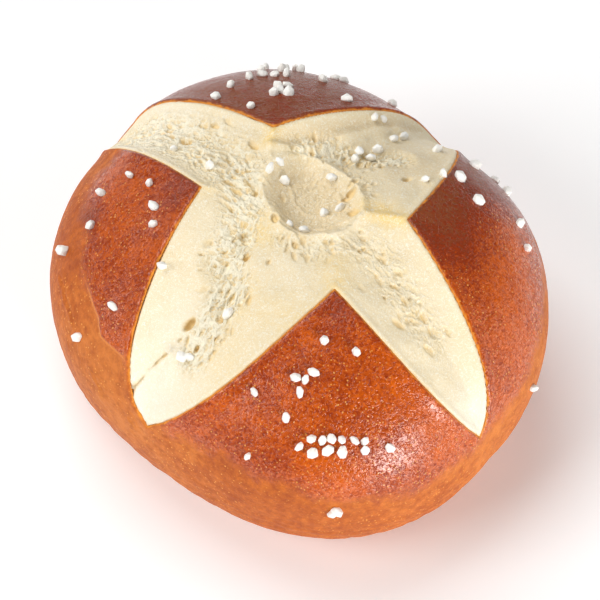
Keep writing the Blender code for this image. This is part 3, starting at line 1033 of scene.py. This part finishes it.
def crumbPaint():
    paint = Paint("tornCrumb", Specular_IOR_Level=0.4)
    paintedCavityShade = paint.field("paintedCavityShade")
    torn = paint.field("torn")
    shade = paint.field("shade")
    yellow = paint.field("yellow")
    rim = paint.field("rim") * crumb["rimFade"]  # mm from the crust
    cloud = paint.noise(6 * mm, 3, 0.6)
    fleck = paint.noise(1.1 * mm, 3, 0.6)
    fibres = paint.noise(0.36 * mm, 2, 0.5, 1.4)
    foam = paint.cells(1.0 * mm, "DISTANCE_TO_EDGE", paint.pushed(0.9 * mm, 0.6 * mm))
    opened = torn * 0.8 + paint.ramp(fleck * 0.5 + cloud * 0.5, 0.45, 0.65) * 0.3
    bubble = paint.ramp(foam, 0.04, 0.28) * opened
    cream = paint.mix(cloud, (0.90, 0.78, 0.54, 1), (0.85, 0.69, 0.42, 1))
    # painted light towards the ends of the arms
    cream = paint.mix(paint.field("paintedLight") * 0.8, cream, (0.97, 0.91, 0.76, 1))
    # painted shade on the pit, the back face and the back right arm
    cream = paint.mix(shade, cream, (0.765, 0.575, 0.31, 1))
    # painted shade in the hollows of the torn foam's bubbles
    cream = paint.mix(bubble * 0.45, cream, (0.84, 0.66, 0.34, 1))
    cream = paint.mix(yellow * paint.ramp(fleck + cloud * 0.5, 0.45, 0.85), cream, (0.93, 0.66, 0.22, 1))
    # painted shade in the pores, the slit and between the strands
    cream = paint.mix(paintedCavityShade * 0.8, cream, (0.84, 0.61, 0.27, 1))
    # the fibres are paler than the crumb round them, and their near-white colour also stands in for painted
    # glints
    fibresAndGlints = paint.mix(paint.ramp(fibres, 0.47, 0.7) * (1 - paintedCavityShade) * 0.7, cream, (1.0, 0.96, 0.85, 1))
    fibresAndGlints = paint.mix(paint.ramp(paint.field("web"), 0.3, 0.7) * 0.75, fibresAndGlints, (0.98, 0.91, 0.71, 1))
    golden = paint.ramp(rim + (fleck - 0.5) * 0.7, 0.4, 0.0)
    base = paint.mix(golden * 0.4, fibresAndGlints, (0.90, 0.60, 0.2, 1))
    paint.feed("Base Color", base)
    relief = fibres * 0.7 + fleck * 0.5 - bubble * 0.8
    paint.feed("Normal", paint.bump(relief, 1.0, 0.18 * mm))
    paint.feed("Roughness", 0.42 + (fleck - 0.5) * 0.3 + paintedCavityShade * 0.2)
    return paint.material


def saltPaint():
    paint = Paint("coarseSalt", Specular_IOR_Level=0.5)
    cloud = paint.noise(1.2 * mm, 3, 0.6)
    paint.feed("Base Color", paint.mix(cloud, (0.98, 0.97, 0.94, 1), (0.90, 0.87, 0.79, 1)))
    paint.feed("Normal", paint.bump(paint.noise(0.5 * mm, 3, 0.6), 0.7, 0.15 * mm))
    paint.feed("Roughness", 0.3 + cloud * 0.2)
    return paint.material


studio = {
    "floorSize": 6.0,
    "floorColour": (0.95, 0.95, 0.95, 1),
    "sky": 0.12,
    "lights": [
        # name, place, size, power
        ("keyLight", (-0.9, -0.4, 0.7), 0.7, 8.3),
        ("frontLight", (0.72, -0.98, 0.2), 0.5, 13.0),
        ("topLight", (-0.3, 0.45, 1.05), 0.9, 8.0),
        ("rightLight", (1.1, -0.1, 0.25), 0.8, 2.0),
    ],
    "cameraAt": (0.316 * mm, -450.3 * mm, 689.2 * mm),
    "cameraTilt": math.radians(34),
    "lens": 250.8,
}


def buildStudio():
    bpy.ops.object.select_all(action="DESELECT")
    bpy.ops.mesh.primitive_plane_add(size=studio["floorSize"], location=(0, 0, 0))
    floor = bpy.context.object
    floor.name = "floor"
    paint = Paint("paleFloor", Roughness=0.6, Specular_IOR_Level=0.2, Emission_Strength=0.14)
    paint.surface.inputs["Base Color"].default_value = studio["floorColour"]
    floor.data.materials.append(paint.material)
    for name, where, size, power in studio["lights"]:
        bpy.ops.object.light_add(type="AREA", location=where)
        light = bpy.context.object
        light.name = name
        light.data.size = size
        light.data.energy = power
        aim = Vector((0, 0, 0.02)) - Vector(where)
        light.rotation_euler = aim.to_track_quat("-Z", "Y").to_euler()
    world = bpy.data.worlds.new("softRoom")
    world.use_nodes = True
    world.node_tree.nodes["Background"].inputs["Color"].default_value = (1, 1, 1, 1)
    world.node_tree.nodes["Background"].inputs["Strength"].default_value = studio["sky"]
    bpy.context.scene.world = world
    bpy.ops.object.camera_add(location=studio["cameraAt"], rotation=(studio["cameraTilt"], 0, 0))
    camera = bpy.context.object
    camera.name = "camera"
    camera.data.lens = studio["lens"]
    camera.data.sensor_width = 36
    camera.data.clip_start = 0.01
    bpy.context.scene.camera = camera
    bpy.context.scene.view_settings.view_transform = "Standard"


def centrePieces(pieces):
    # the middle of the whole roll's box goes over the origin
    every = np.concatenate([corners(piece) for piece in pieces])
    middle = (every.min(axis=0) + every.max(axis=0)) / 2
    for piece in pieces:
        piece.data.transform(Matrix.Translation((-middle[0], -middle[1], 0)))


def dress(piece, paint):
    piece.data.materials.clear()
    piece.data.materials.append(paint)
    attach(piece, "root")
    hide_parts("pretzel_roll")


body = crumbBody()
shell = crustShell()
grains = saltGrains()
centrePieces([body, shell, grains])
dress(body, crumbPaint())
dress(shell, crustPaint())
dress(grains, saltPaint())
buildStudio()
print("materials and studio done")
